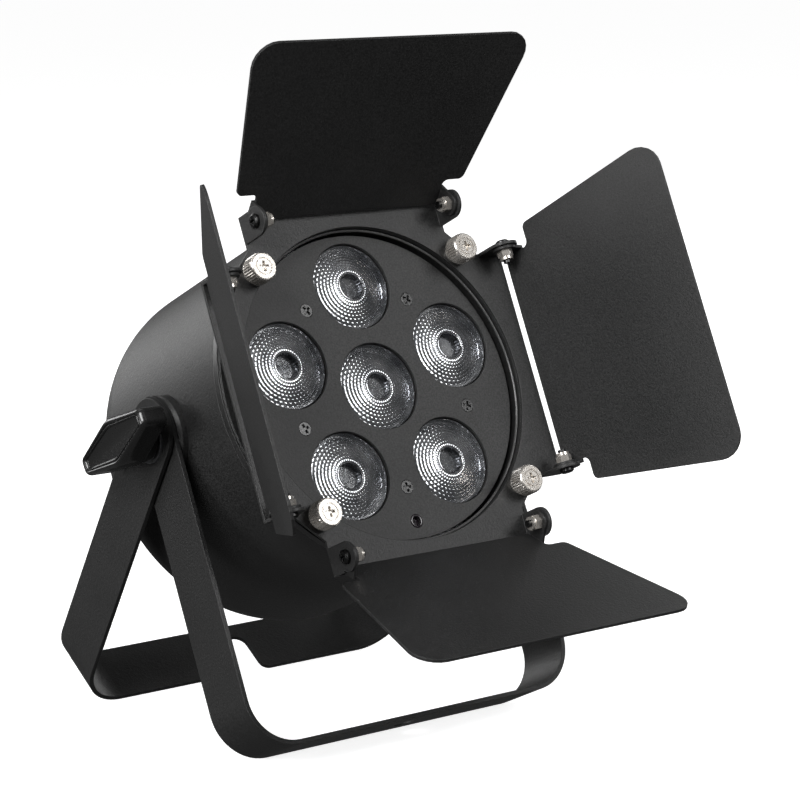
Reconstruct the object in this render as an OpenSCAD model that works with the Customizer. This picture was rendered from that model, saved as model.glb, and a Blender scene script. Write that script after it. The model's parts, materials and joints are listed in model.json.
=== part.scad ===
// LED par can light on a folding double bracket, with four barn doors.
// Millimetres, +Z up. The lamp faces -Y and is tilted up; the origin is on the floor,
// under the middle of the whole lamp as it stands with its doors open.
// Everything on the lamp head is drawn in a head frame: x to the side, y up the face of
// the lamp, z forward out of it, with 0,0,0 at the middle of the door frame's front face.

/* [Can] */
// Outer diameter of the can
can_d = 146; // [145.8:0.1:146.4]
// Distance from the door frame's front face back to the rear panel
can_depth = 118; // [118:1:124]
// Radius that rounds the can into its flat rear
dome_r = 25; // [23:1:25]
// Wall thickness of the can
can_wall = 2; // [1.6:0.1:2.1]

/* [Optics] */
// Diameter of each lens
lens_d = 35; // [34:0.5:35.5]
// Radius of the ring that the outer lenses stand on
lens_ring_r = 41.4; // [41:0.1:42]
// Number of lenses on the ring
lens_count = 5; // [5:1:5]

/* [Bracket] */
// Height of the tilt axis over the floor
pivot_h = 122; // [120:0.5:124]
// Width of the bracket straps
strap_w = 26.6; // [24:0.2:27]
// Thickness of the bracket straps
strap_t = 1.8; // [1.8:0.1:1.8]
// Tilt axis to the underside of the inner bracket's crossbar
inner_reach = 129; // [128:0.5:130]
// Tilt axis to the underside of the outer bracket's crossbar
outer_reach = 135.5; // [135:0.5:137]
// Outside radius of the bracket bends
bend_r = 20; // [16:1:22]
// Angle that the lamp is tilted up from level
tilt = 25; // [0:1:60]

/* [Barn doors] */
// Length over all of the square door frame
frame_size = 143.4; // [143:0.1:144]
// Diameter of the opening in the door frame
opening_d = 128; // [126:0.5:128]
// Thickness of the frame and door sheet
sheet_t = 1.2; // [1:0.1:1.2]
// Length of a door from its hinge line to its far edge
door_reach = 74.3; // [65:0.1:75]
// Width of a door at its far edge
door_far_w = 132.2; // [125:0.1:132.2]
// Width of a door where it leaves the hinge
door_near_w = 108.2; // [106:0.1:110]
// Opening angle of the top door, from flat with the frame
open_top = 53.5; // [0:0.5:150]
// Opening angle of the bottom door
open_bottom = 52.5; // [0:0.5:150]
// Opening angle of the left door
open_left = 62; // [0:1:94]
// Opening angle of the right door
open_right = 69.5; // [0:0.5:94]

/* [Hidden] */
$fn = 64;
e = 0.01;

// Place of the tilt axis over the floor, in the middle between the bracket legs
pivot_x = 4.2;
pivot_y = 35.9;

// Tilt axis in the head frame
pivot_rise = 2;
pivot_back = 50;
stud_r = 4;
// Radial running clearance of pins and studs in their holes
run = 0.07;

// Stack along the tilt axis, measured out from the middle
can_r = can_d / 2;
boss_out = 76.3;
inner_out = 78.2;
outer_out = 80.8;
knob_in = 82;
strap_end = 2.7;
knob_bar = 86.5;
knob_out = 98;

// Planes of the head along z
bezel_front = -4.4;
shell_front = -8.4;
plate_front = -6;
panel_t = 1.5;
shell_back = panel_t - can_depth;
carrier_back = -26;
board_front = -26.6;
sink_front = -28.3;
sink_base = -33;
fin_back = -55;
fan_front = -57;
fan_back = -72;
driver_front = -78;

// Radii of the front ring
spigot_r = can_r - can_wall - 0.1;
collar_out = 66.2;
plate_r = 62.2;
thumb_xy = 48.65;
thumb_r = 2;

// Door hinge line: distance from the middle, and height over the frame's face
hinge_out = 66.5;
hinge_z = 9.9;
pin_r = 1.5;
ear_in = 46.2;
ear_out = ear_in + sheet_t;
door_ear_out = 46.1;
door_ear_in = door_ear_out - sheet_t;
// Back face of a door sheet, measured from the hinge line
door_back = -7.8;

// Rear panel layout: places of the controls and sockets
panel_r = 47.2;
panel_hole_r = 41;
panel_screw_r = 44;
button_y = 13;
button_x = [-18, -6, 6, 18];
button_r = 2.6;
dmx_x = 19;
dmx_y = -5;
inlet_y = -30;
fuse_x = -23.5;
fuse_y = -26;

// ---------- shared helpers ----------

// Lean of a bracket that stands on one edge of its crossbar at the height of the tilt axis
function lean(reach) =
    atan(strap_w / 2 / reach) + acos(pivot_h / norm([reach, strap_w / 2]));

function unit(v) = v / norm(v);

// Points of the arc that rounds corner b, between a and c, with radius r
function corner_arc(a, b, c, r, n) =
    let (
        u = unit(a - b),
        v = unit(c - b),
        half = acos(u * v) / 2,
        middle = b + unit(u + v) * r / sin(half),
        from = b + u * r / tan(half),
        start = atan2(from.y - middle.y, from.x - middle.x),
        turn = cross(b - a, c - b) > 0 ? 1 : -1,
        sweep = turn * (180 - 2 * half)
    )
    [for (i = [0 : n]) middle + r * [cos(start + sweep * i / n), sin(start + sweep * i / n)]];

// Outline whose corners are rounded; a corner with radius 0 stays sharp
function rounded(points, radii, n = 6) =
    let (count = len(points))
    [for (i = [0 : count - 1])
        each radii[i] == 0
            ? [points[i]]
            : corner_arc(points[(i + count - 1) % count], points[i],
                         points[(i + 1) % count], radii[i], n)];

function mirrored_x(points) = [for (i = [len(points) - 1 : -1 : 0]) [-points[i].x, points[i].y]];

module in_head() {
    translate([pivot_x, pivot_y, pivot_h])
        rotate([90 - tilt, 0, 0])
            translate([0, -pivot_rise, pivot_back]) children();
}

// Cylinder along +z between two heights
module rod(r, z0, z1) {
    translate([0, 0, z0]) cylinder(r = r, h = z1 - z0);
}

// Cylinder along x at the tilt axis of the head frame, between two distances on one side
module axle(side, r, x0, x1, r2 = undef) {
    translate([side * x0, pivot_rise, -pivot_back])
        rotate([0, side * 90, 0])
            cylinder(r1 = r, r2 = is_undef(r2) ? r : r2, h = x1 - x0);
}

// Cross recess, cut down from z = 0
module cross_recess(size, width, depth) {
    for (a = [0, 90]) rotate(a)
        translate([-size / 2, -width / 2, -depth]) cube([size, width, depth + e]);
}

module on_lens_ring(i) {
    rotate(90 + i * 360 / lens_count) translate([lens_ring_r, 0, 0]) children();
}

module at_plate_screws() {
    for (i = [0 : lens_count - 1]) on_lens_ring(i + 0.5) children();
}

module at_thumbscrews() {
    for (a = [0 : 90 : 270]) rotate(a) translate([thumb_xy, thumb_xy, 0]) children();
}

module at_fan_corners() {
    for (x = [-1, 1], y = [-1, 1]) translate([x * 35.75, y * 35.75, 0]) children();
}

module at_panel_screws() {
    for (a = [45 : 90 : 315]) rotate(a) translate([panel_screw_r, 0, 0]) children();
}

// ---------- can ----------

// Half section of the can filled solid and shrunk by an inset
module can_section(inset, front) {
    r = can_r - inset;
    corner = dome_r - inset;
    back = shell_back + inset;
    translate([0, back + corner]) square([r, front - back - corner]);
    translate([0, back]) square([r - corner, corner + e]);
    intersection() {
        translate([r - corner, back + corner]) circle(r = corner, $fn = 96);
        translate([0, back]) square([r, corner]);
    }
}

module can_shell() {
    color("#1c1c1e") in_head() difference() {
        rotate_extrude($fn = 128) difference() {
            can_section(0, shell_front);
            can_section(can_wall, shell_front + 1);
            translate([0, shell_back - 1]) square([panel_hole_r, can_wall + 2]);
        }
        for (side = [-1, 1]) axle(side, stud_r + 0.3, can_r - 6, can_r + 1);
        at_panel_screws() rod(1.25, shell_back - 1, shell_back + can_wall + 1);
        // ring of air slots round the rear edge
        for (i = [0 : 27]) rotate(i * 360 / 28)
            translate([54, -1.3, shell_back - 1]) cube([11, 2.6, 12]);
    }
}

module front_bezel() {
    color("#202022") in_head() difference() {
        union() {
            rod(can_r - 0.8, shell_front + 0.1, bezel_front);
            rod(can_r, shell_front + 0.1, bezel_front - 0.8);
            rod(collar_out, bezel_front - e, -sheet_t - 0.05);
            rod(spigot_r, -14, shell_front + 0.1 + e);
            // four pillars that carry the heatsink and take the thumbscrews
            intersection() {
                at_thumbscrews() rod(4.6, sink_front + 0.05, -10);
                rod(spigot_r, -40, 0);
            }
        }
        difference() {
            rod(opening_d / 2, -40, 1);
            at_thumbscrews() rod(4.6, -40, -14 - e);
        }
        rod(collar_out + 1.5, -14 - e, shell_front - 2);
        at_thumbscrews() rod(thumb_r + run, -20, 1);
        at_thumbscrews() rod(1.25, -40, -19.9);
    }
}

// ---------- optics ----------

module lens_plate() {
    color("#242426") in_head() difference() {
        rod(plate_r, plate_front - 1.5, plate_front);
        rod(lens_d / 2 + 0.25, -10, 0);
        for (i = [0 : lens_count - 1]) on_lens_ring(i) rod(lens_d / 2 + 0.25, -10, 0);
        at_plate_screws() {
            rod(1.7, -10, 0);
            translate([0, 0, plate_front - 1.3]) cylinder(r1 = 1.6, r2 = 2.9, h = 1.3 + e);
        }
        translate([0, -55.2, 0]) rod(1.9, -10, 0);
    }
}

module lens_plate_screws() {
    color("#8f8f92") in_head() at_plate_screws() difference() {
        union() {
            rod(1.45, -18, plate_front - 1);
            translate([0, 0, plate_front - 1.2]) cylinder(r1 = 1.5, r2 = 2.7, h = 1.2);
        }
        translate([0, 0, plate_front]) cross_recess(3.8, 1.1, 1.0);
    }
}

module ir_sensor() {
    color("#101014") in_head() translate([0, -55.2, 0]) {
        rod(1.7, -9.5, plate_front - 1.45);
        rod(3.2, -12, plate_front - 1.55);
    }
}

// One collimating lens: a flange, a cone that narrows to the light source, and wells
module tir_lens() {
    color([0.85, 0.87, 0.9, 0.6]) difference() {
        union() {
            rod(lens_d / 2, -9.5, plate_front - 0.2);
            translate([0, 0, -23.5]) cylinder(r1 = 7, r2 = lens_d / 2 - 0.6, h = 14 + e);
        }
        rod(5.2, -14.5, 0);
        rod(4.2, -24, -20);
    }
}

module tir_lens_centre() {
    in_head() tir_lens();
}

module tir_lens_on_ring(i) {
    in_head() on_lens_ring(i) tir_lens();
}

module lens_carrier() {
    color("#151517") in_head() difference() {
        union() {
            rod(60, carrier_back, carrier_back + 2);
            rod(lens_d / 2 + 1.4, carrier_back, -8.2);
            for (i = [0 : lens_count - 1]) on_lens_ring(i) rod(lens_d / 2 + 1.4, carrier_back, -8.2);
            at_plate_screws() rod(3.6, carrier_back, plate_front - 1.55);
        }
        rod(lens_d / 2 + 0.15, carrier_back + 2.1, 0);
        rod(9, carrier_back - 1, 0);
        for (i = [0 : lens_count - 1]) on_lens_ring(i) {
            rod(lens_d / 2 + 0.15, carrier_back + 2.1, 0);
            rod(9, carrier_back - 1, 0);
        }
        at_plate_screws() rod(1.5, carrier_back + 2, 0);
        translate([0, -55.2, 0]) rod(3.5, carrier_back - 1, 0);
    }
}

module led_board() {
    color("#e8e8e4") in_head() difference() {
        rod(58, sink_front + 0.05, board_front);
        for (a = [0 : 120 : 240]) rotate(a + 30) translate([54, 0, 0]) rod(1.7, -40, 0);
    }
}

module led_emitters() {
    color("#f2e24c") in_head() {
        led_emitter();
        for (i = [0 : lens_count - 1]) on_lens_ring(i) led_emitter();
    }
}

module led_emitter() {
    translate([-3.5, -3.5, board_front]) cube([7, 7, 0.8]);
    intersection() {
        translate([0, 0, board_front + 0.8 - e]) sphere(r = 2.6);
        rod(4, board_front + 0.8 - e, 0);
    }
}

// ---------- inside the can ----------

module heatsink() {
    color("#b4b7ba") in_head() difference() {
        union() {
            rod(can_r - can_wall - 1, sink_base, sink_front);
            intersection() {
                for (i = [-9 : 9]) translate([i * 5.6 - 0.8, -60, fin_back])
                    cube([1.6, 120, sink_base - fin_back + e]);
                rod(60, fin_back - 1, sink_base + 1);
            }
            at_fan_corners() rod(4.5, fan_front, sink_base + e);
        }
        at_thumbscrews() rod(1.7, -40, 0);
        at_fan_corners() rod(1.6, fan_front - 1, fan_front + 12);
    }
}

module heatsink_screws() {
    color("#9a9a9c") in_head() at_thumbscrews() {
        rod(1.2, sink_base - 1, sink_front + 8);
        rod(2.1, sink_base - 2, sink_base - e);
    }
}

module fan_frame() {
    color("#18181a") in_head() difference() {
        union() {
            difference() {
                translate([-40, -40, fan_back]) cube([80, 80, fan_front - fan_back]);
                rod(38.5, fan_back - 1, fan_front + 1);
            }
            rod(15, fan_back, fan_back + 2);
            for (a = [15 : 120 : 255]) rotate(a)
                translate([0, -2, fan_back]) cube([39.5, 4, 2]);
            rod(pin_r, fan_back + 1, fan_front - 3);
        }
        at_fan_corners() rod(2.2, fan_back - 1, fan_front + 1);
    }
}

module fan_rotor() {
    color("#26262a") in_head() difference() {
        union() {
            rod(14, fan_back + 2.6, fan_front - 0.8);
            intersection() {
                for (i = [0 : 6]) rotate(i * 360 / 7) translate([12, 0, (fan_back + fan_front) / 2 + 1])
                    rotate([38, 0, 0]) translate([0, -9, -0.7]) cube([26, 18, 1.4]);
                rod(37.4, fan_back + 2.8, fan_front - 1);
            }
        }
        rod(pin_r + run, fan_back, fan_front - 2.8);
    }
}

module board_standoffs() {
    color("#c9a24a") in_head() at_fan_corners() difference() {
        union() {
            rod(1.5, fan_back - 1, fan_front + 8);
            translate([0, 0, driver_front + 0.05])
                cylinder(r = 3.4, h = fan_back - driver_front - 0.1, $fn = 6);
        }
        rod(1.25, driver_front - 1, driver_front + 4);
    }
}

module driver_board() {
    color("#1f5b34") in_head() difference() {
        union() {
            translate([-45, -41, driver_front - 1.6]) cube([90, 82, 1.6]);
            // transformer, capacitors, power transistors on their sink, and headers
            translate([-30, 4, driver_front - 15]) cube([22, 24, 13.4 + e]);
            for (x = [4, 16, 28]) translate([x, 18, 0]) rod(5, driver_front - 17, driver_front - 1.6 + e);
            translate([-6, -30, driver_front - 12]) cube([26, 4, 10.4 + e]);
            translate([-38, -32, driver_front - 8]) cube([14, 10, 6.4 + e]);
        }
        at_fan_corners() rod(1.7, driver_front - 3, driver_front + 1);
    }
}

module board_screws() {
    color("#9a9a9c") in_head() at_fan_corners() {
        rod(1.2, driver_front - 2, driver_front + 3.5);
        rod(2.7, driver_front - 3.4, driver_front - 1.65);
    }
}

// ---------- rear panel and controls ----------

rear = -can_depth;

module rear_panel() {
    color("#1a1a1c") in_head() difference() {
        rod(panel_r, rear, rear + panel_t - 0.05);
        translate([-16.2, 21.8, rear - 1]) cube([32.4, 12.4, 4]);
        for (x = button_x) translate([x, button_y, 0]) rod(button_r + 0.3, rear - 1, rear + 3);
        for (x = [-dmx_x, dmx_x]) translate([x, dmx_y, 0]) rod(9.6, rear - 1, rear + 3);
        translate([-12.2, inlet_y - 8.7, rear - 1]) cube([24.4, 17.4, 4]);
        translate([fuse_x, fuse_y, 0]) rod(5, rear - 1, rear + 3);
        at_panel_screws() rod(1.45, rear - 1, rear + 3);
    }
}

module rear_panel_screws() {
    color("#2a2a2c") in_head() at_panel_screws() difference() {
        union() {
            rod(1.2, rear - 0.5, rear + 8);
            rod(2.4, rear - 1.5, rear - 0.02);
        }
        translate([0, 0, rear - 1.5]) mirror([0, 0, 1]) cross_recess(2.8, 0.7, 0.9);
    }
}

module display_window() {
    color([0.25, 0.05, 0.05, 0.8]) in_head() translate([-16, 22, rear]) cube([32, 12, 1]);
}

module control_board() {
    color("#1f5b34") in_head() {
        translate([-28, 8, rear + 8.4]) cube([56, 27, 1.6]);
        translate([-17, 21.5, rear + 2]) cube([34, 13, 6.4 + e]);
        for (x = [-24, 24], y = [11, 30]) translate([x, y, 0]) rod(2, rear + panel_t, rear + 8.5);
        for (x = button_x) translate([x, button_y, 0]) {
            translate([-3, -3, rear + 4.9]) cube([6, 6, 3.5 + e]);
            rod(1.5, rear + 3.95, rear + 5);
        }
    }
}

module button(i) {
    color("#2c2c30") in_head() translate([button_x[i], button_y, 0]) {
        rod(button_r, rear - 1.2, rear + 2.1);
        rod(3.6, rear + 1.8, rear + 3.1);
    }
}

module button_menu() button(0);
module button_down() button(1);
module button_up() button(2);
module button_enter() button(3);

// Flange and barrel that both data sockets share, standing at the panel
module socket_body() {
    difference() {
        union() {
            rod(9.4, rear, rear + 18);
            translate([-11, -13, rear - 1.5]) cube([22, 26, 1.45]);
            rod(9.4, rear - 1.5, rear + e);
        }
        for (s = [-1, 1]) translate([s * 8.6, s * 10.6, 0]) rod(1.6, rear - 2, rear);
    }
}

module dmx_in_socket() {
    color("#2b2b2e") in_head() translate([-dmx_x, dmx_y, 0]) {
        difference() {
            socket_body();
            rod(7.9, rear - 2, rear + 12);
        }
        for (a = [30, 150, 270]) rotate(a) translate([5, 0, 0]) rod(1.15, rear + 1, rear + 12 + e);
    }
}

module dmx_out_socket() {
    color("#2b2b2e") in_head() translate([dmx_x, dmx_y, 0]) difference() {
        socket_body();
        for (a = [30, 150, 270]) rotate(a) translate([5, 0, 0]) rod(1.3, rear - 2, rear + 12);
    }
}

module power_inlet() {
    color("#141416") in_head() translate([0, inlet_y, 0]) {
        difference() {
            union() {
                translate([-12, -8.5, rear - e]) cube([24, 17, 18]);
                translate([-14, -11, rear - 1.5]) cube([28, 22, 1.45 + e]);
                translate([-12, -8.5, rear - 1]) cube([24, 17, 2]);
            }
            translate([-11, -7.5, rear - 3]) cube([22, 15, 17]);
        }
        for (p = [[-6, -1.5], [0, 2.5], [6, -1.5]])
            translate([p.x - 1, p.y - 2, rear + 6]) cube([2, 4, 8 + e]);
    }
}

module fuse_holder() {
    color("#141416") in_head() translate([fuse_x, fuse_y, 0]) difference() {
        union() {
            rod(4.8, rear, rear + 20);
            rod(5.6, rear - 3, rear - 0.02);
            rod(4.8, rear - 1, rear + e);
        }
        translate([-3.5, -0.6, rear - 3.1]) cube([7, 1.2, 1.5]);
    }
}

// ---------- tilt axis ----------

module side_boss(side) {
    high = boss_out - 66;
    color("#2a2a2c") in_head() difference() {
        translate([side * 66, pivot_rise, -pivot_back]) rotate([0, side * 90, 0]) rotate(45)
            rotate_extrude($fn = 96)
                polygon([[stud_r + 0.3, 0], [15.6, 0], [15.6, high - 1.2], [14.4, high],
                         [stud_r + 0.3, high]]);
        translate([0, 0, -80]) cylinder(r = can_r + 0.02, h = 60, $fn = 360);
    }
}

module side_boss_left() side_boss(-1);
module side_boss_right() side_boss(1);

module nut_plate(side) {
    color("#8d8f92") in_head() difference() {
        intersection() {
            translate([side * 67.5 - 4, pivot_rise - 13, -pivot_back - 13]) cube([8, 26, 26]);
            rod(can_r - can_wall - 0.03, -80, -20);
        }
        axle(side, stud_r + run, 60, 80);
    }
}

module nut_plate_left() nut_plate(-1);
module nut_plate_right() nut_plate(1);

module pivot_stud(side) {
    color("#a5a7aa") in_head() axle(side, stud_r, 62.5, knob_out - 4);
}

module pivot_stud_left() pivot_stud(-1);
module pivot_stud_right() pivot_stud(1);

// Lozenge outline of the knob's bar, shrunk by an inset
module knob_outline(inset) {
    long = 26.2 - inset;
    tip = 3.6 - inset / 2;
    wide = 10.2 - inset;
    right = [[long, -tip], [long, tip], [0, wide]];
    polygon(rounded([each right, [-long, tip], [-long, -tip], [0, -wide]],
                    [2.8, 2.8, 14, 2.8, 2.8, 14]));
}

module tilt_knob(side) {
    color("#19191b") in_head() difference() {
        union() {
            axle(side, 9, knob_in, knob_bar + e);
            translate([side * knob_bar, pivot_rise, -pivot_back])
                rotate([0, side * 90, 0]) rotate(side < 0 ? 6 : 90) {
                    linear_extrude(knob_out - knob_bar - 1.2) knob_outline(0);
                    translate([0, 0, knob_out - knob_bar - 1.2 - e])
                        linear_extrude(1.2 + e) knob_outline(1.2);
                }
        }
        axle(side, stud_r + 0.01, knob_in - 1, knob_out - 4 + e);
    }
}

module tilt_knob_left() tilt_knob(-1);
module tilt_knob_right() tilt_knob(1);

module washer_pair(r, x0, x1) {
    in_head() for (side = [-1, 1]) difference() {
        axle(side, r, x0, x1);
        axle(side, stud_r + 0.3, x0 - 1, x1 + 1);
    }
}

module knob_washers() {
    color("#b9bbbe") washer_pair(10, outer_out + 0.05, knob_in - 0.1);
}

module bracket_washers() {
    color("#0e0e10") washer_pair(12, inner_out + 0.05, outer_out - strap_t - 0.05);
}

// Section across the strap: a U with rounded bends, outer face at half_w and -reach
module strap_section(half_w, reach, inset) {
    w = half_w - inset;
    low = -reach + inset;
    r = bend_r - inset;
    translate([-w, low + r]) square([2 * w, reach - inset - r + strap_end]);
    translate([-w + r, low]) square([2 * (w - r), r + e]);
    for (s = [-1, 1]) translate([s * (w - r), low + r]) circle(r = r, $fn = 96);
}

module strap(half_w, reach) {
    difference() {
        union() {
            rotate([90, 0, 0]) linear_extrude(strap_w, center = true) difference() {
                strap_section(half_w, reach, 0);
                translate([0, 0]) strap_section(half_w, reach, strap_t);
                translate([-half_w + strap_t, -20]) square([2 * (half_w - strap_t), 24]);
            }
            for (s = [-1, 1]) translate([s * (half_w - strap_t / 2), 0, strap_end])
                rotate([0, 90, 0]) cylinder(r = strap_w / 2, h = strap_t, center = true);
        }
        rotate([0, 90, 0]) cylinder(r = stud_r + run, h = 200, center = true);
    }
}

module inner_bracket() {
    color("#1d1d1f") translate([pivot_x, pivot_y, pivot_h]) rotate([-lean(inner_reach), 0, 0]) difference() {
        strap(inner_out, inner_reach);
        translate([0, 0, -inner_reach - 1]) cylinder(r = 5.3, h = strap_t + 2);
    }
}

// Open slot in the floor-side edge of the outer crossbar, for reaching the clamp bolt
module clamp_slot() {
    half_w = 10.2;
    deep = 20;
    flare = 4;
    edge = strap_w / 2;
    right = [[half_w + flare, -edge - 1], [half_w + flare, -edge], [half_w, -edge], [half_w, deep - edge]];
    polygon(rounded([each right, each mirrored_x(right)], [0, 0, 3.9, 5, 5, 3.9, 0, 0]));
}

module outer_bracket() {
    color("#1d1d1f") translate([pivot_x, pivot_y, pivot_h]) rotate([lean(outer_reach), 0, 0]) difference() {
        strap(outer_out, outer_reach);
        translate([0, 0, -outer_reach - 1]) linear_extrude(strap_t + 2) clamp_slot();
    }
}

// ---------- barn doors ----------

module frame_sheet() {
    half = frame_size / 2;
    square([2 * ear_out, 2 * half], center = true);
    square([2 * half, 2 * ear_out], center = true);
    intersection() {
        square(120, center = true);
        rotate(45) square(149.2, center = true);
    }
}

module frame_ear(side) {
    translate([side > 0 ? ear_in : -ear_out, 0, 0])
        rotate([90, 0, 90]) linear_extrude(sheet_t) {
            translate([hinge_out - 5.8, -sheet_t])
                square([frame_size / 2 - hinge_out + 5.8, 6 + sheet_t]);
            translate([hinge_out - 5.8, 5]) square([5.8, hinge_z - 5]);
            translate([hinge_out, hinge_z]) circle(r = 5.8);
        }
}

module hinge_bore(r) {
    translate([0, hinge_out, hinge_z]) rotate([0, 90, 0]) cylinder(r = r, h = 200, center = true);
}

module barn_door_frame() {
    color("#28282a") in_head() difference() {
        union() {
            frame_blank();
            for (a = [0 : 90 : 270], side = [-1, 1]) rotate(a) frame_ear(side);
        }
        rod(opening_d / 2, -5, 5);
        at_thumbscrews() rod(2.4, -5, 5);
        for (a = [0, 90]) rotate(a) {
            hinge_bore(pin_r + 0.03);
            rotate(180) hinge_bore(pin_r + 0.03);
        }
    }
}

module frame_blank() {
    translate([0, 0, -sheet_t]) linear_extrude(sheet_t) frame_sheet();
}

// Door drawn on its hinge line: x along the hinge, y outward, z forward of the sheet
module door_blank() {
    heel = 4.2;
    near = 7.3;
    right = [[door_ear_out, -heel], [door_ear_out, heel], [door_ear_out - 1.5, heel],
             [door_ear_out - 1.5, near], [door_near_w / 2, near], [door_far_w / 2, door_reach]];
    sizes = [0.8, 0, 0, 2.5, 2.5, 9.5];
    difference() {
        union() {
            translate([0, 0, door_back]) linear_extrude(sheet_t)
                polygon(rounded([each right, each mirrored_x(right)],
                                [each sizes, for (i = [5 : -1 : 0]) sizes[i]]));
            for (side = [-1, 1]) translate([side > 0 ? door_ear_in : -door_ear_out, 0, 0])
                rotate([90, 0, 90]) linear_extrude(sheet_t) {
                    translate([-heel, door_back]) square([2 * heel, -door_back]);
                    circle(r = 4.6);
                }
        }
        rotate([0, 90, 0]) cylinder(r = pin_r + run, h = 200, center = true);
    }
}

module door(turn, angle) {
    color("#1b1b1d") in_head() rotate(turn)
        translate([0, hinge_out, hinge_z]) rotate([angle, 0, 0]) door_blank();
}

module door_top() door(0, open_top);
module door_bottom() door(180, open_bottom);
module door_left() door(90, open_left);
module door_right() door(-90, open_right);

// Places of the eight hinge screws: x along the hinge, pointing out to the screw's head
module at_hinges() {
    in_head() for (a = [0 : 90 : 270], side = [0, 1]) rotate(a)
        translate([0, hinge_out, hinge_z]) mirror([side, 0, 0]) rotate([0, 90, 0]) children();
}

module hinge_screws() {
    color("#161618") at_hinges() difference() {
        union() {
            rod(pin_r, 39.6, ear_out + 0.1);
            rod(2.85, ear_out + 0.05, ear_out + 1.1);
            translate([0, 0, ear_out + 1.1 - e]) cylinder(r1 = 2.85, r2 = 2.1, h = 0.6);
        }
        translate([0, 0, ear_out + 1.7]) cross_recess(3, 0.75, 1);
    }
}

module hinge_nuts() {
    color("#c4c6c8") at_hinges() difference() {
        union() {
            translate([0, 0, 42.1]) cylinder(r = 3.17, h = 2.75, $fn = 6);
            rod(2.65, 40.9, 42.1 + e);
        }
        rod(pin_r + 0.02, 40, 46);
    }
}

// Knurled thumbscrew with a cross-head screw set in its face
module thumbscrew(i) {
    color("#c8c9ca") in_head() rotate(i * 90) translate([thumb_xy, thumb_xy, 0]) difference() {
        union() {
            rod(thumb_r, -18, 3);
            rod(4, 0.1, 2.6 + e);
            rod(5.45, 2.6, 9);
            translate([0, 0, 9 - e]) cylinder(r1 = 5.45, r2 = 5.05, h = 0.4);
        }
        difference() {
            rod(3.5, 8.7, 10);
            rod(3.2, 8, 10);
        }
        translate([0, 0, 9.4]) cross_recess(4.2, 1.1, 1.3);
    }
}

// ---------- nodes ----------

can_shell();
front_bezel();
lens_plate();
lens_plate_screws();
ir_sensor();
tir_lens_centre();
tir_lens_on_ring(0);  // tir_lens_1
tir_lens_on_ring(1);  // tir_lens_2
tir_lens_on_ring(2);  // tir_lens_3
tir_lens_on_ring(3);  // tir_lens_4
tir_lens_on_ring(4);  // tir_lens_5
lens_carrier();
led_board();
led_emitters();
heatsink();
heatsink_screws();
fan_frame();
fan_rotor();
board_standoffs();
driver_board();
board_screws();
control_board();
rear_panel();
rear_panel_screws();
display_window();
button_menu();
button_down();
button_up();
button_enter();
dmx_in_socket();
dmx_out_socket();
power_inlet();
fuse_holder();
side_boss_left();
side_boss_right();
nut_plate_left();
nut_plate_right();
pivot_stud_left();
pivot_stud_right();
tilt_knob_left();
tilt_knob_right();
knob_washers();
bracket_washers();
inner_bracket();
outer_bracket();
barn_door_frame();
door_top();
door_bottom();
door_left();
door_right();
hinge_screws();
hinge_nuts();
thumbscrew(0);  // thumbscrew_1
thumbscrew(1);  // thumbscrew_2
thumbscrew(2);  // thumbscrew_3
thumbscrew(3);  // thumbscrew_4
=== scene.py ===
import json
import math

import bpy
from mathutils import Matrix, Vector


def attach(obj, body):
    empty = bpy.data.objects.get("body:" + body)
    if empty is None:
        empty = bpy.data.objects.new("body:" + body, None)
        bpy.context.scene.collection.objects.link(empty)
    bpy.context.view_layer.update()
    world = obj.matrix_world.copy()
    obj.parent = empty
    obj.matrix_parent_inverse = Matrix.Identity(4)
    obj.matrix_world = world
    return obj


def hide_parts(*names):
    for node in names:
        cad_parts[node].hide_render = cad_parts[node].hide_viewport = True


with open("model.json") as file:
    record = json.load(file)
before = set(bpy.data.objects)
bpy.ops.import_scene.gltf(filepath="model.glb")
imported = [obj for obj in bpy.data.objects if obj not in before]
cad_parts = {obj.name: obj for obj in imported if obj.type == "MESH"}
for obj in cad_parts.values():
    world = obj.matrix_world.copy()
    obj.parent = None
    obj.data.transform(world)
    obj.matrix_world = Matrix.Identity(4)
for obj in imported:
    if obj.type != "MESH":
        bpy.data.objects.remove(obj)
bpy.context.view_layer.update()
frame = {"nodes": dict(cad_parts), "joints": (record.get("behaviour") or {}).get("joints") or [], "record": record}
nodes = frame["nodes"]
joints = {j["name"]: j for j in frame["joints"]}
slot_of = {s["node"]: s["material_slot"] for s in frame["record"]["subparts"]}
scene = bpy.context.scene
MM = 0.001

# The tilt axis in the head frame, in millimetres: up the lamp's face, and back from its front
PIVOT_RISE = 2
PIVOT_BACK = 50

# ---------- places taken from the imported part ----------

pivot = Vector(joints["head_tilt"]["pos_m"])
head_z = Vector(joints["fan_spin"]["axis"]).normalized()
head_x = Vector((1, 0, 0))
head_y = head_z.cross(head_x).normalized()
# Head frame in millimetres: x to the side, y up the lamp's face, z forward out of it
HEAD = (
    Matrix.Translation(pivot)
    @ Matrix((head_x, head_y, head_z)).transposed().to_4x4()
    @ Matrix.Scale(MM, 4)
    @ Matrix.Translation((0, -PIVOT_RISE, PIVOT_BACK))
)

# ---------- camera ----------

# Metres to the left of the tilt axis, in front of it, and above the floor
CAMERA_LEFT = 0.6128
CAMERA_FRONT = 0.8755
CAMERA_HEIGHT = 0.3169
CAMERA_LOOK = (0.5887, 0.7892, -0.1748)
CAMERA_RIGHT = (0.8005, -0.5993, -0.0094)
FOCAL_MM = 121
SENSOR_MM = 36

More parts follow.
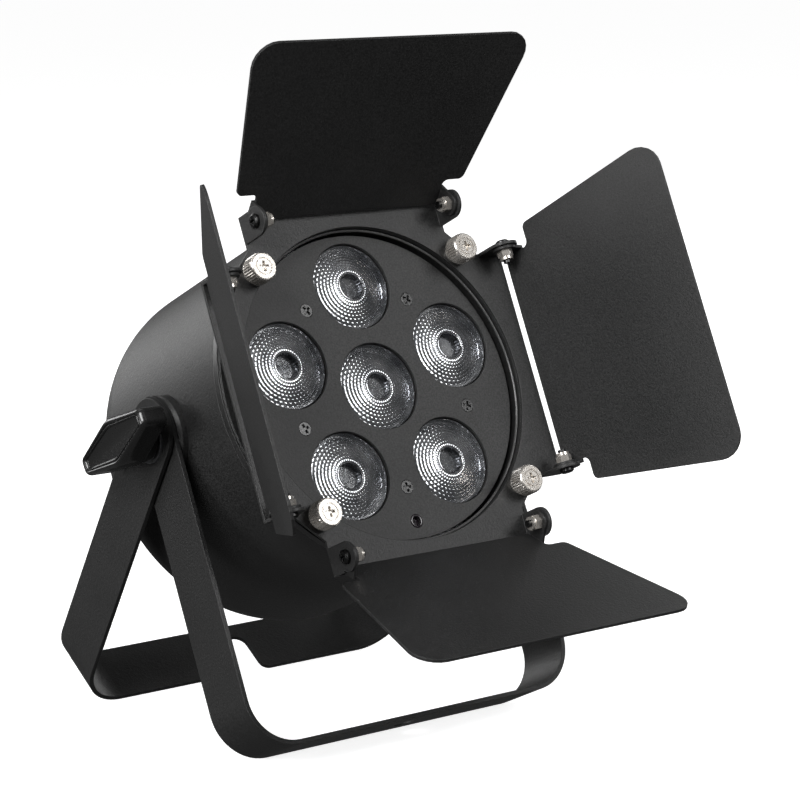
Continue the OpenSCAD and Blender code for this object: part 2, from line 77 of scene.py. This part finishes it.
camera_data = bpy.data.cameras.new("camera")
camera = bpy.data.objects.new("camera", camera_data)
scene.collection.objects.link(camera)
scene.camera = camera
look = Vector(CAMERA_LOOK).normalized()
right = Vector(CAMERA_RIGHT)
right = (right - look * right.dot(look)).normalized()
up = right.cross(look)
camera.matrix_world = Matrix.Translation(
    Vector((pivot.x - CAMERA_LEFT, pivot.y - CAMERA_FRONT, CAMERA_HEIGHT))
) @ Matrix((right, up, -look)).transposed().to_4x4()
camera_data.lens = FOCAL_MM
camera_data.sensor_width = SENSOR_MM
camera_data.clip_start = 0.05
camera_data.clip_end = 60

# ---------- node helpers ----------


class Tree:
    """A material's node tree with short calls for the nodes used here."""

    def __init__(self, name):
        self.material = bpy.data.materials.new(name)
        self.material.use_nodes = True
        self.nodes = self.material.node_tree.nodes
        self.links = self.material.node_tree.links
        self.shader = self.nodes["Principled BSDF"]
        self.place = self.nodes.new("ShaderNodeTexCoord").outputs["Object"]

    def link(self, a, b):
        self.links.new(a, b)

    def noise(self, scale, detail=3.0, rough=0.55, place=None):
        n = self.nodes.new("ShaderNodeTexNoise")
        n.inputs["Scale"].default_value = scale
        n.inputs["Detail"].default_value = detail
        n.inputs["Roughness"].default_value = rough
        self.link(place or self.place, n.inputs["Vector"])
        return n.outputs["Fac"]

    def cells(self, scale, feature="F1"):
        n = self.nodes.new("ShaderNodeTexVoronoi")
        n.feature = feature
        n.inputs["Scale"].default_value = scale
        self.link(self.place, n.inputs["Vector"])
        return n.outputs["Distance"]

    def ramp(self, value, stops):
        n = self.nodes.new("ShaderNodeValToRGB")
        ramp = n.color_ramp
        while len(ramp.elements) < len(stops):
            ramp.elements.new(0.5)
        for element, (where, colour) in zip(ramp.elements, stops):
            element.position = where
            element.color = (*colour, 1) if len(colour) == 3 else colour
        self.link(value, n.inputs["Fac"])
        return n.outputs["Color"]

    def spread(self, value, low, high, from_low=0.3, from_high=0.7):
        n = self.nodes.new("ShaderNodeMapRange")
        n.inputs["From Min"].default_value = from_low
        n.inputs["From Max"].default_value = from_high
        n.inputs["To Min"].default_value = low
        n.inputs["To Max"].default_value = high
        self.link(value, n.inputs["Value"])
        return n.outputs["Result"]

    def math(self, kind, a, b):
        n = self.nodes.new("ShaderNodeMath")
        n.operation = kind
        for socket, value in zip(n.inputs, (a, b)):
            if isinstance(value, (int, float)):
                socket.default_value = value
            else:
                self.link(value, socket)
        return n.outputs["Value"]

    def mix(self, factor, a, b):
        n = self.nodes.new("ShaderNodeMix")
        n.data_type = "RGBA"
        sockets = {s.identifier: s for s in n.inputs}
        for key, value in (("Factor_Float", factor), ("A_Color", a), ("B_Color", b)):
            if isinstance(value, bpy.types.NodeSocket):
                self.link(value, sockets[key])
            else:
                sockets[key].default_value = value if key == "Factor_Float" else (*value, 1)
        return next(s for s in n.outputs if s.identifier == "Result_Color")

    def bump(self, height, distance, strength=1.0, normal=None):
        n = self.nodes.new("ShaderNodeBump")
        n.inputs["Distance"].default_value = distance
        n.inputs["Strength"].default_value = strength
        self.link(height, n.inputs["Height"])
        if normal is not None:
            self.link(normal, n.inputs["Normal"])
        return n.outputs["Normal"]

    def rounded_normal(self, radius):
        n = self.nodes.new("ShaderNodeBevel")
        n.samples = 4
        n.inputs["Radius"].default_value = radius
        return n.outputs["Normal"]

    def edge_mask(self, rounded):
        """Near 1 on an edge, 0 on a flat: how far the rounded normal leans from the true one."""
        geometry = self.nodes.new("ShaderNodeNewGeometry")
        dot = self.nodes.new("ShaderNodeVectorMath")
        dot.operation = "DOT_PRODUCT"
        self.link(rounded, dot.inputs[0])
        self.link(geometry.outputs["True Normal"], dot.inputs[1])
        return self.spread(dot.outputs["Value"], 1, 0, 0.80, 0.98)

    def set(self, **values):
        for key, value in values.items():
            socket = self.shader.inputs[key.replace("_", " ")]
            if isinstance(value, bpy.types.NodeSocket):
                self.link(value, socket)
            elif isinstance(value, tuple):
                socket.default_value = (*value, 1)
            else:
                socket.default_value = value
        return self.material


def grey(value, warm=0.0):
    return (value * (1 + warm), value, value * (1 - warm))


def powder(name, tone, edge_highlight_tone, grain=1500.0, depth=0.00009, rough=(0.40, 0.58)):
    """Fine textured powder coat: small rounded grains, faint mottling, and a painted highlight that lightens the
    colour along edges.
    """
    t = Tree(name)
    grains = t.noise(grain, 2.0, 0.6)
    pits = t.cells(grain * 0.55, "SMOOTH_F1")
    mottle = t.noise(38.0, 4.0)
    soft = t.rounded_normal(0.00045)
    edge = t.edge_mask(soft)
    speck = t.spread(grains, 0.50, 1.65, 0.35, 0.68)
    base = t.mix(t.spread(mottle, 0, 1), grey(tone * 0.88), grey(tone * 1.12))
    speckled = t.nodes.new("ShaderNodeVectorMath")
    speckled.operation = "SCALE"
    t.link(base, speckled.inputs[0])
    t.link(speck, speckled.inputs["Scale"])
    # painted highlight: along every rounded edge the colour is mixed toward the lighter edge tone
    colour = t.mix(t.math("MULTIPLY", edge, 0.8), speckled.outputs["Vector"], grey(edge_highlight_tone))
    height = t.math("ADD", grains, t.math("MULTIPLY", pits, 0.5))
    return t.set(
        Base_Color=colour,
        Roughness=t.spread(grains, rough[0], rough[1]),
        Normal=t.bump(height, depth, 1.0, soft),
        Specular_IOR_Level=0.5,
    )


def plastic(name, colour, rough=0.35, grain=900.0, depth=0.00003, coat=0.0, edge=0.0003):
    """Moulded plastic: even colour, faint flow marks and a little surface grain."""
    t = Tree(name)
    fine = t.noise(grain, 3.0)
    flow = t.noise(60.0, 3.0)
    dark = tuple(c * 0.82 for c in colour)
    light = tuple(min(1, c * 1.2) for c in colour)
    return t.set(
        Base_Color=t.mix(t.spread(flow, 0, 1), dark, light),
        Roughness=t.spread(fine, rough * 0.85, rough * 1.2),
        Normal=t.bump(fine, depth, 1.0, t.rounded_normal(edge)),
        Coat_Weight=coat,
        Coat_Roughness=0.12,
    )


def metal(name, colour, rough=0.25, grain=1200.0, depth=0.00002, tarnish=0.25):
    """Plated metal: fine scratches, uneven gloss and darker tarnish in patches."""
    t = Tree(name)
    fine = t.noise(grain, 3.0)
    patch = t.noise(260.0, 4.0)
    dull = tuple(c * (1 - tarnish) for c in colour)
    return t.set(
        Base_Color=t.mix(t.spread(patch, 0, 1), dull, colour),
        Metallic=1.0,
        Roughness=t.spread(fine, rough * 0.7, rough * 1.35),
        Normal=t.bump(fine, depth, 1.0, t.rounded_normal(0.00015)),
    )


def circuit(name, colour, trace):
    """Solder mask with paler tracks under it."""
    t = Tree(name)
    tracks = t.ramp(t.cells(260.0, "DISTANCE_TO_EDGE"), [(0.02, trace), (0.05, colour)])
    fine = t.noise(1500.0, 2.0)
    return t.set(Base_Color=tracks, Roughness=0.35, Normal=t.bump(fine, 0.00001))


def extrusion(name, colour):
    """Aluminium with the fine lines of its extrusion."""
    t = Tree(name)
    stretch = t.nodes.new("ShaderNodeMapping")
    stretch.inputs["Scale"].default_value = (1, 0.03, 0.03)
    t.link(t.place, stretch.inputs["Vector"])
    lines = t.noise(2600.0, 2.0, 0.5, stretch.outputs["Vector"])
    return t.set(
        Base_Color=t.mix(t.spread(lines, 0, 1), tuple(c * 0.8 for c in colour), colour),
        Metallic=1.0,
        Roughness=t.spread(lines, 0.28, 0.45),
        Normal=t.bump(lines, 0.00002),
    )


materials = {
    "powder_black": powder("powder_black", 0.016, 0.055),
    "frame_grey": powder("frame_grey", 0.026, 0.075, rough=(0.40, 0.56)),
    "bezel_black": powder("bezel_black", 0.020, 0.09, rough=(0.28, 0.42), depth=0.00004),
    "plate_grey": powder("plate_grey", 0.034, 0.08, rough=(0.48, 0.62), depth=0.00006),
    "carrier_black": plastic("carrier_black", grey(0.012), 0.5),
    "screw_grey": metal("screw_grey", grey(0.13), 0.28, depth=0.000004),
    "screw_black": metal("screw_black", grey(0.06), 0.32),
    "zinc": metal("zinc", (0.52, 0.53, 0.55), 0.34),
    "knob_black": plastic("knob_black", grey(0.009), 0.24, 700.0, 0.00002, coat=0.35),
    "friction_black": plastic("friction_black", grey(0.015), 0.6),
    "aluminium": extrusion("aluminium", (0.66, 0.67, 0.69)),
    "board_white": circuit("board_white", (0.72, 0.72, 0.70), (0.60, 0.62, 0.60)),
    "phosphor_yellow": plastic("phosphor_yellow", (0.80, 0.66, 0.10), 0.2, coat=1.0),
    "board_green": circuit("board_green", (0.010, 0.085, 0.035), (0.03, 0.17, 0.07)),
    "brass": metal("brass", (0.72, 0.53, 0.24), 0.28),
    "fan_black": plastic("fan_black", grey(0.013), 0.42),
    "sensor_black": plastic("sensor_black", (0.010, 0.006, 0.010), 0.12, coat=1.0),
    "display_red": plastic("display_red", (0.045, 0.004, 0.005), 0.10, coat=1.0),
    "button_black": plastic("button_black", grey(0.030), 0.45),
    "socket_black": plastic("socket_black", grey(0.014), 0.40),
}


def lens_material():
    """Clear moulded skin of a lens: half see-through, with the sheen of its own reflections."""
    t = Tree("lens_clear")
    ripple = t.noise(900.0, 2.0)
    tone = t.noise(120.0, 2.0)
    return t.set(
        Base_Color=t.mix(t.spread(tone, 0, 1), (0.30, 0.31, 0.33), (0.72, 0.73, 0.75)),
        Metallic=0.92,
        Roughness=t.spread(ripple, 0.07, 0.15),
        Normal=t.bump(ripple, 0.00002),
        Coat_Weight=0.3,
        Coat_Roughness=0.03,
        Alpha=0.74,
    )


def lens_depth():
    """Inside of a lens: dark and cloudy, as its total reflection looks."""
    t = Tree("lens_depth")
    cloud = t.noise(300.0, 3.0)
    return t.set(
        Base_Color=t.mix(t.spread(cloud, 0, 1), (0.045, 0.046, 0.05), (0.30, 0.31, 0.33)),
        Metallic=0.9,
        Roughness=t.spread(cloud, 0.16, 0.34),
        Normal=t.bump(cloud, 0.0002),
    )


materials["lens_depth"] = lens_depth()
materials["lens_clear"] = lens_material()


def nickel():
    """Bright nickel plate, slightly milky, with a warm cast in patches."""
    t = Tree("nickel")
    patch = t.noise(420.0, 3.0)
    return t.set(
        Base_Color=t.mix(t.spread(patch, 0, 1), (0.72, 0.67, 0.61), (0.80, 0.765, 0.72)),
        Metallic=0.80,
        Roughness=t.spread(patch, 0.22, 0.26),
    )


materials["nickel"] = nickel()
materials["bead_gloss"] = plastic("bead_gloss", grey(0.07), 0.16, coat=0.6)

for name, thing in nodes.items():
    thing.data.materials.clear()
    thing.data.materials.append(materials[slot_of[name]])

# ---------- mesh helpers ----------


def piece(name, points, faces, place, body, slot, stands_for=(), smooth_under=35.0):
    """Mesh piece given in millimetres in a local frame, put in place and set to ride on a body."""
    mesh = bpy.data.meshes.new(name)
    mesh.from_pydata([place @ Vector(p) for p in points], [], faces)
    mesh.validate()
    mesh.update()
    mesh.shade_smooth()
    mesh.set_sharp_from_angle(angle=math.radians(smooth_under))
    mesh.materials.append(materials[slot])
    thing = bpy.data.objects.new(name, mesh)
    scene.collection.objects.link(thing)
    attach(thing, body)
    if stands_for:
        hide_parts(*stands_for)
    return thing


def loft(rings, close_start=True, close_end=True):
    """Points and faces of a skin through rings that have the same number of points."""
    count = len(rings[0])
    points = [p for ring in rings for p in ring]
    faces = [
        (k * count + i, k * count + (i + 1) % count,
         (k + 1) * count + (i + 1) % count, (k + 1) * count + i)
        for k in range(len(rings) - 1)
        for i in range(count)
    ]
    if close_start:
        faces.append(tuple(reversed(range(count))))
    if close_end:
        last = (len(rings) - 1) * count
        faces.append(tuple(last + i for i in range(count)))
    return points, faces


def circle(radius, z, count=96, wobble=None):
    ring = []
    for i in range(count):
        a = 2 * math.pi * i / count
        r = radius + (wobble(a) if wobble else 0)
        ring.append((r * math.cos(a), r * math.sin(a), z))
    return ring


def joined(*parts):
    points, faces = [], []
    for p, f in parts:
        faces += [tuple(i + len(points) for i in face) for face in f]
        points += p
    return points, faces


# ---------- lenses ----------

LENS_RING = 41.4
FACET_ROWS = 8
FACETS = 42
FACET_STEPS = 4
FACET_INNER, FACET_OUTER = 6.1, 16.9
FACET_HIGH = 0.21
DOME_FALL = 3.4
WELL_COUNT = 144
RIBS = 24
RIB_DEPTH = 0.10
FOOT_RINGS = 12
PIMPLE_HIGH = 0.16
PIMPLE_PITCH = 3.4


def facetted_lens():
    """Front of a collimating lens: a domed ring of pillow facets round the mouth of a well."""
    steps = FACET_ROWS * FACET_STEPS
    around = FACETS * FACET_STEPS
    rings = [circle(17.4, -9.3, around), circle(17.4, -7.6, around), circle(17.2, -7.4, around),
             circle(FACET_OUTER + 0.1, -7.7, around), circle(FACET_OUTER + 0.1, -10.0, around)]
    for k in range(steps + 1):
        along = k / steps
        radius = FACET_OUTER + (FACET_INNER - FACET_OUTER) * along
        fall = DOME_FALL * ((radius - FACET_INNER) / (FACET_OUTER - FACET_INNER)) ** 1.3
        v = (k % FACET_STEPS) / FACET_STEPS
        half_turn = 0.5 * ((k // FACET_STEPS) % 2)
        ring = []
        for i in range(around):
            a = 2 * math.pi * i / around
            u = (i / FACET_STEPS + half_turn) % 1.0
            pillow = 16 * u * (1 - u) * v * (1 - v)
            z = -6.35 - fall + FACET_HIGH * pillow * (0.45 + 0.55 * radius / FACET_OUTER)
            ring.append((radius * math.cos(a), radius * math.sin(a), z))
        rings.append(ring)
    # polished lip and the well's wall
    for radius, z in ((5.9, -6.25), (5.6, -6.2), (5.3, -6.3), (5.1, -6.8), (4.9, -8.6),
                      (4.75, -10.1)):
        rings.append(circle(radius, z, around))
    return loft(rings, close_end=False)


def lens_core():
    """Funnel wall and step that show through a lens's front, and the wall and foot of its well."""
    funnel = [(16.3, -9.5), (14.4, -12.0), (12.4, -15.0), (10.2, -18.4), (7.0, -23.2),
              (6.2, -23.2), (9.6, -18.2), (11.8, -14.8), (13.8, -11.8), (15.7, -9.6)]
    step = [(8.9, -14.9), (9.1, -14.6), (8.9, -14.3), (8.5, -14.2), (8.1, -14.4), (8.0, -14.9),
            (8.3, -15.2)]
    parts = []
    for outline in (funnel, step):
        rings = [circle(r, z, 96) for r, z in outline + outline[:1]]
        parts.append(loft(rings, False, False))
    # ribbed wall of the well and its pimpled foot
    well = [circle(r, z, WELL_COUNT, lambda a: RIB_DEPTH * math.sin(RIBS * a))
            for r, z in ((4.95, -6.75), (4.85, -8.4), (4.6, -10.1))]
    for k in range(FOOT_RINGS):
        well.append([
            (x, y, z + PIMPLE_HIGH * math.sin(PIMPLE_PITCH * x) * math.sin(PIMPLE_PITCH * y))
            for x, y, z in circle(4.4 - 0.37 * k, -10.3 + 0.05 * k, WELL_COUNT)
        ])
    parts.append(loft(well, close_start=False))
    return joined(*parts)


lens_points, lens_faces = facetted_lens()
core_points, core_faces = lens_core()
lens_places = [("tir_lens_centre", Matrix.Identity(4))]
for i in range(5):
    turn = Matrix.Rotation(math.radians(90 + 72 * i), 4, "Z")
    lens_places.append((f"tir_lens_{i + 1}", turn @ Matrix.Translation((LENS_RING, 0, 0))))
for name, place in lens_places:
    piece(f"{name}_front", lens_points, lens_faces, HEAD @ place, "lamp_head", "lens_clear",
          [name], smooth_under=24.0)
    core = piece(f"{name}_core", core_points, core_faces, HEAD @ place, "lamp_head", "lens_clear",
                 smooth_under=40.0)
    core.data.materials[0] = materials["lens_depth"]

# ---------- bead round the lens opening ----------

BEAD_RING = 63.4
BEAD_TUBE = 0.55
BEAD_Z = -3.3
BEAD_SIDES = 12

bead = [(BEAD_RING + BEAD_TUBE * math.cos(a), BEAD_Z + BEAD_TUBE * math.sin(a))
        for a in (2 * math.pi * i / BEAD_SIDES for i in range(BEAD_SIDES + 1))]
bead_ring = piece("front_bezel_bead", *loft([circle(r, z, 240) for r, z in bead], False, False),
                  HEAD, "lamp_head", "bezel_black", smooth_under=60.0)
bead_ring.data.materials[0] = materials["bead_gloss"]

# ---------- grommet round the sensor ----------

SENSOR_Y = -55.2
grommet = [(1.75, -6.4), (1.75, -5.85), (2.1, -5.68), (2.6, -5.72), (2.85, -6.0), (2.85, -6.2)]
piece("ir_sensor_grommet", *loft([circle(r, z, 48) for r, z in grommet], False, False),
      HEAD @ Matrix.Translation((0, SENSOR_Y, 0)), "lamp_head", "sensor_black", smooth_under=50.0)

# ---------- knurled sleeves of the thumbscrews ----------

THUMB = 48.65
TEETH = 34
TOOTH_DEPTH = 0.42
KNURL_INNER = 5.30
KNURL_RIM = 5.42
KNURL_OUTER = 5.85


def knurl():
    def tooth(a):
        phase = (a * TEETH / (2 * math.pi)) % 1.0
        return -TOOTH_DEPTH * abs(2 * phase - 1)

    count = TEETH * 4
    rings = [
        circle(KNURL_INNER, 2.75, count),
        circle(KNURL_RIM, 2.75, count),
        circle(KNURL_OUTER, 3.15, count, tooth),
        circle(KNURL_OUTER, 8.35, count, tooth),
        circle(KNURL_RIM, 8.85, count),
        circle(KNURL_INNER, 8.85, count),
    ]
    points, faces = loft(rings, False, False)
    last = 5 * count
    faces += [(last + i, last + (i + 1) % count, (i + 1) % count, i) for i in range(count)]
    return points, faces


knurl_points, knurl_faces = knurl()
for i in range(4):
    turn = Matrix.Rotation(math.radians(90 * i), 4, "Z")
    piece(f"thumbscrew_{i + 1}_knurl", knurl_points, knurl_faces,
          HEAD @ turn @ Matrix.Translation((THUMB, THUMB, 0)), f"thumbscrew_{i + 1}", "nickel",
          smooth_under=20.0)

# ---------- tilt knobs ----------

# Hub's inner face along the tilt axis, and the half sizes of the bar's outline
KNOB_FACE = 82
BAR_LENGTH = 26.2
BAR_TIP = 3.6
BAR_WIDE = 10.2
TIP_ROUND = 2.8
SIDE_ROUND = 14
ARC_STEPS = 10


def corner(a, b, c, radius, count):
    """Points of the arc of that radius that rounds corner b."""
    a, b, c = Vector(a), Vector(b), Vector(c)
    u, v = (a - b).normalized(), (c - b).normalized()
    half = math.acos(max(-1, min(1, u.dot(v)))) / 2
    middle = b + (u + v).normalized() * radius / math.sin(half)
    start = b + u * radius / math.tan(half)
    first = math.atan2(start.y - middle.y, start.x - middle.x)
    sweep = math.pi - 2 * half
    return [
        (middle.x + radius * math.cos(first + sweep * i / count),
         middle.y + radius * math.sin(first + sweep * i / count))
        for i in range(count + 1)
    ]


def lozenge(inset, height):
    length, tip, wide = BAR_LENGTH - inset, BAR_TIP - inset * 0.42, BAR_WIDE - inset
    corners = [
        (length, -tip), (length, tip), (0, wide), (-length, tip), (-length, -tip), (0, -wide),
    ]
    small = max(0.5, TIP_ROUND - inset * 0.45)
    ring = []
    for i, b in enumerate(corners):
        radius = SIDE_ROUND if b[0] == 0 else small
        ring += corner(corners[i - 1], b, corners[(i + 1) % len(corners)], radius, ARC_STEPS)
    return [(x, y, height) for x, y in ring]


def knob():
    """Bar knob in millimetres: x along the bar, z outward, 0 at the hub's inner face."""
    # each pair is the outline's inset and its height
    bar = [(1.6, 4.5), (0.5, 4.8), (0.0, 5.6), (0.0, 13.4), (0.25, 14.5), (0.9, 15.4),
           (1.5, 15.85), (2.1, 15.95), (2.5, 15.8), (2.75, 15.35), (3.0, 15.35), (3.25, 15.75),
           (3.6, 15.8), (3.9, 15.5), (4.1, 14.95), (4.5, 14.85)]
    hub = [(8.4, 0.0), (9.0, 0.5), (9.0, 4.0), (9.3, 4.8)]
    return joined(loft([lozenge(i, h) for i, h in bar]), loft([circle(r, z, 64) for r, z in hub]))


knob_points, knob_faces = knob()
for side, name, turn in ((-1, "left", 6), (1, "right", 90)):
    across = Vector((side, 0, 0))
    bar_axis = Vector((0, 0, 1))
    place = Matrix((bar_axis, across.cross(bar_axis), across)).transposed().to_4x4()
    place = place @ Matrix.Rotation(math.radians(turn), 4, "Z")
    piece(f"tilt_knob_{name}_grip", knob_points, knob_faces,
          HEAD @ Matrix.Translation((side * KNOB_FACE, PIVOT_RISE, -PIVOT_BACK)) @ place,
          f"knob_{name}", "knob_black", [f"tilt_knob_{name}"], smooth_under=28.0)

# ---------- display digits, unlit ----------

DIGITS = 4
DIGIT_PITCH = 7
DIGITS_LEFT = -10.5
DISPLAY_Y = 28
GLASS_FACE, GLASS_INSIDE = -118.12, -117.9


def digits():
    """Four unlit seven-segment figures, seen from behind the lamp."""
    parts = []
    bars = [(0, 3.6, 0), (0, 0, 0), (0, -3.6, 0), (-1.9, 1.8, 90), (1.9, 1.8, 90),
            (-1.9, -1.8, 90), (1.9, -1.8, 90)]
    outline = [(-1.6, 0), (-1.2, 0.4), (1.2, 0.4), (1.6, 0), (1.2, -0.4), (-1.2, -0.4)]
    for digit in range(DIGITS):
        for x, y, turn in bars:
            c, s = math.cos(math.radians(turn)), math.sin(math.radians(turn))
            place = [
                (x + px * c - py * s + DIGITS_LEFT + DIGIT_PITCH * digit,
                 y + px * s + py * c + DISPLAY_Y)
                for px, py in outline
            ]
            parts.append(loft([[(px, py, GLASS_FACE) for px, py in reversed(place)],
                               [(px, py, GLASS_INSIDE) for px, py in reversed(place)]]))
    return joined(*parts)


piece("display_digits", *digits(), HEAD, "lamp_head", "board_white", smooth_under=20.0)
materials["digit_grey"] = plastic("digit_grey", (0.10, 0.035, 0.035), 0.3)
bpy.data.objects["display_digits"].data.materials[0] = materials["digit_grey"]

# ---------- floor and light ----------

FLOOR_HALF = 20
FLOOR_GLOW = 0.86
# Strength of the surroundings as light, and as seen by the camera
WORLD_LIGHT = 0.10
WORLD_SEEN = 1.0

floor_mesh = bpy.data.meshes.new("floor")
floor_mesh.from_pydata(
    [(x * FLOOR_HALF, y * FLOOR_HALF, 0) for x, y in ((-1, -1), (1, -1), (1, 1), (-1, 1))],
    [], [(0, 1, 2, 3)],
)
floor = bpy.data.objects.new("floor", floor_mesh)
scene.collection.objects.link(floor)
floor_look = Tree("floor")
floor_look.set(Base_Color=(0.80, 0.80, 0.80), Roughness=0.9, Specular_IOR_Level=0.0)
floor_look.shader.inputs["Emission Color"].default_value = (1, 1, 1, 1)
floor_look.shader.inputs["Emission Strength"].default_value = FLOOR_GLOW
floor_mesh.materials.append(floor_look.material)
floor.visible_diffuse = False
floor.visible_glossy = False

world = bpy.data.worlds.new("studio")
scene.world = world
world.use_nodes = True
tree = world.node_tree
background = tree.nodes["Background"]
path = tree.nodes.new("ShaderNodeLightPath")
strength = tree.nodes.new("ShaderNodeMix")
strength.data_type = "FLOAT"
tree.links.new(path.outputs["Is Camera Ray"], strength.inputs[0])
strength.inputs[2].default_value = WORLD_LIGHT
strength.inputs[3].default_value = WORLD_SEEN
background.inputs["Color"].default_value = (1, 1, 1, 1)
tree.links.new(strength.outputs[0], background.inputs["Strength"])


def area(name, place, target, size, power):
    data = bpy.data.lights.new(name, "AREA")
    data.shape = "RECTANGLE"
    data.size, data.size_y = size
    data.energy = power
    light = bpy.data.objects.new(name, data)
    light.location = place
    light.rotation_euler = (Vector(target) - Vector(place)).to_track_quat("-Z", "Y").to_euler()
    scene.collection.objects.link(light)


middle = (0, 0, 0.14)
area("key_left", (-1.6, -0.75, 1.35), middle, (0.9, 1.1), 38)
area("front_high", (0.6, -1.7, 1.25), middle, (1.1, 0.9), 19)
area("left_low", (-1.9, 0.1, 0.2), middle, (0.9, 0.5), 13)
area("top_back", (-0.3, 0.9, 1.9), middle, (1.6, 1.0), 3)
area("right_back", (1.9, 0.8, 0.55), middle, (0.9, 0.9), 9)
area("rear", (-0.4, 1.9, 0.6), middle, (1.2, 0.8), 9)

sun_data = bpy.data.lights.new("overhead", "SUN")
sun_data.energy = 0.15
sun_data.angle = math.radians(70)
sun = bpy.data.objects.new("overhead", sun_data)
sun.rotation_euler = (math.radians(12), math.radians(-14), 0)
scene.collection.objects.link(sun)

scene.view_settings.view_transform = "Standard"
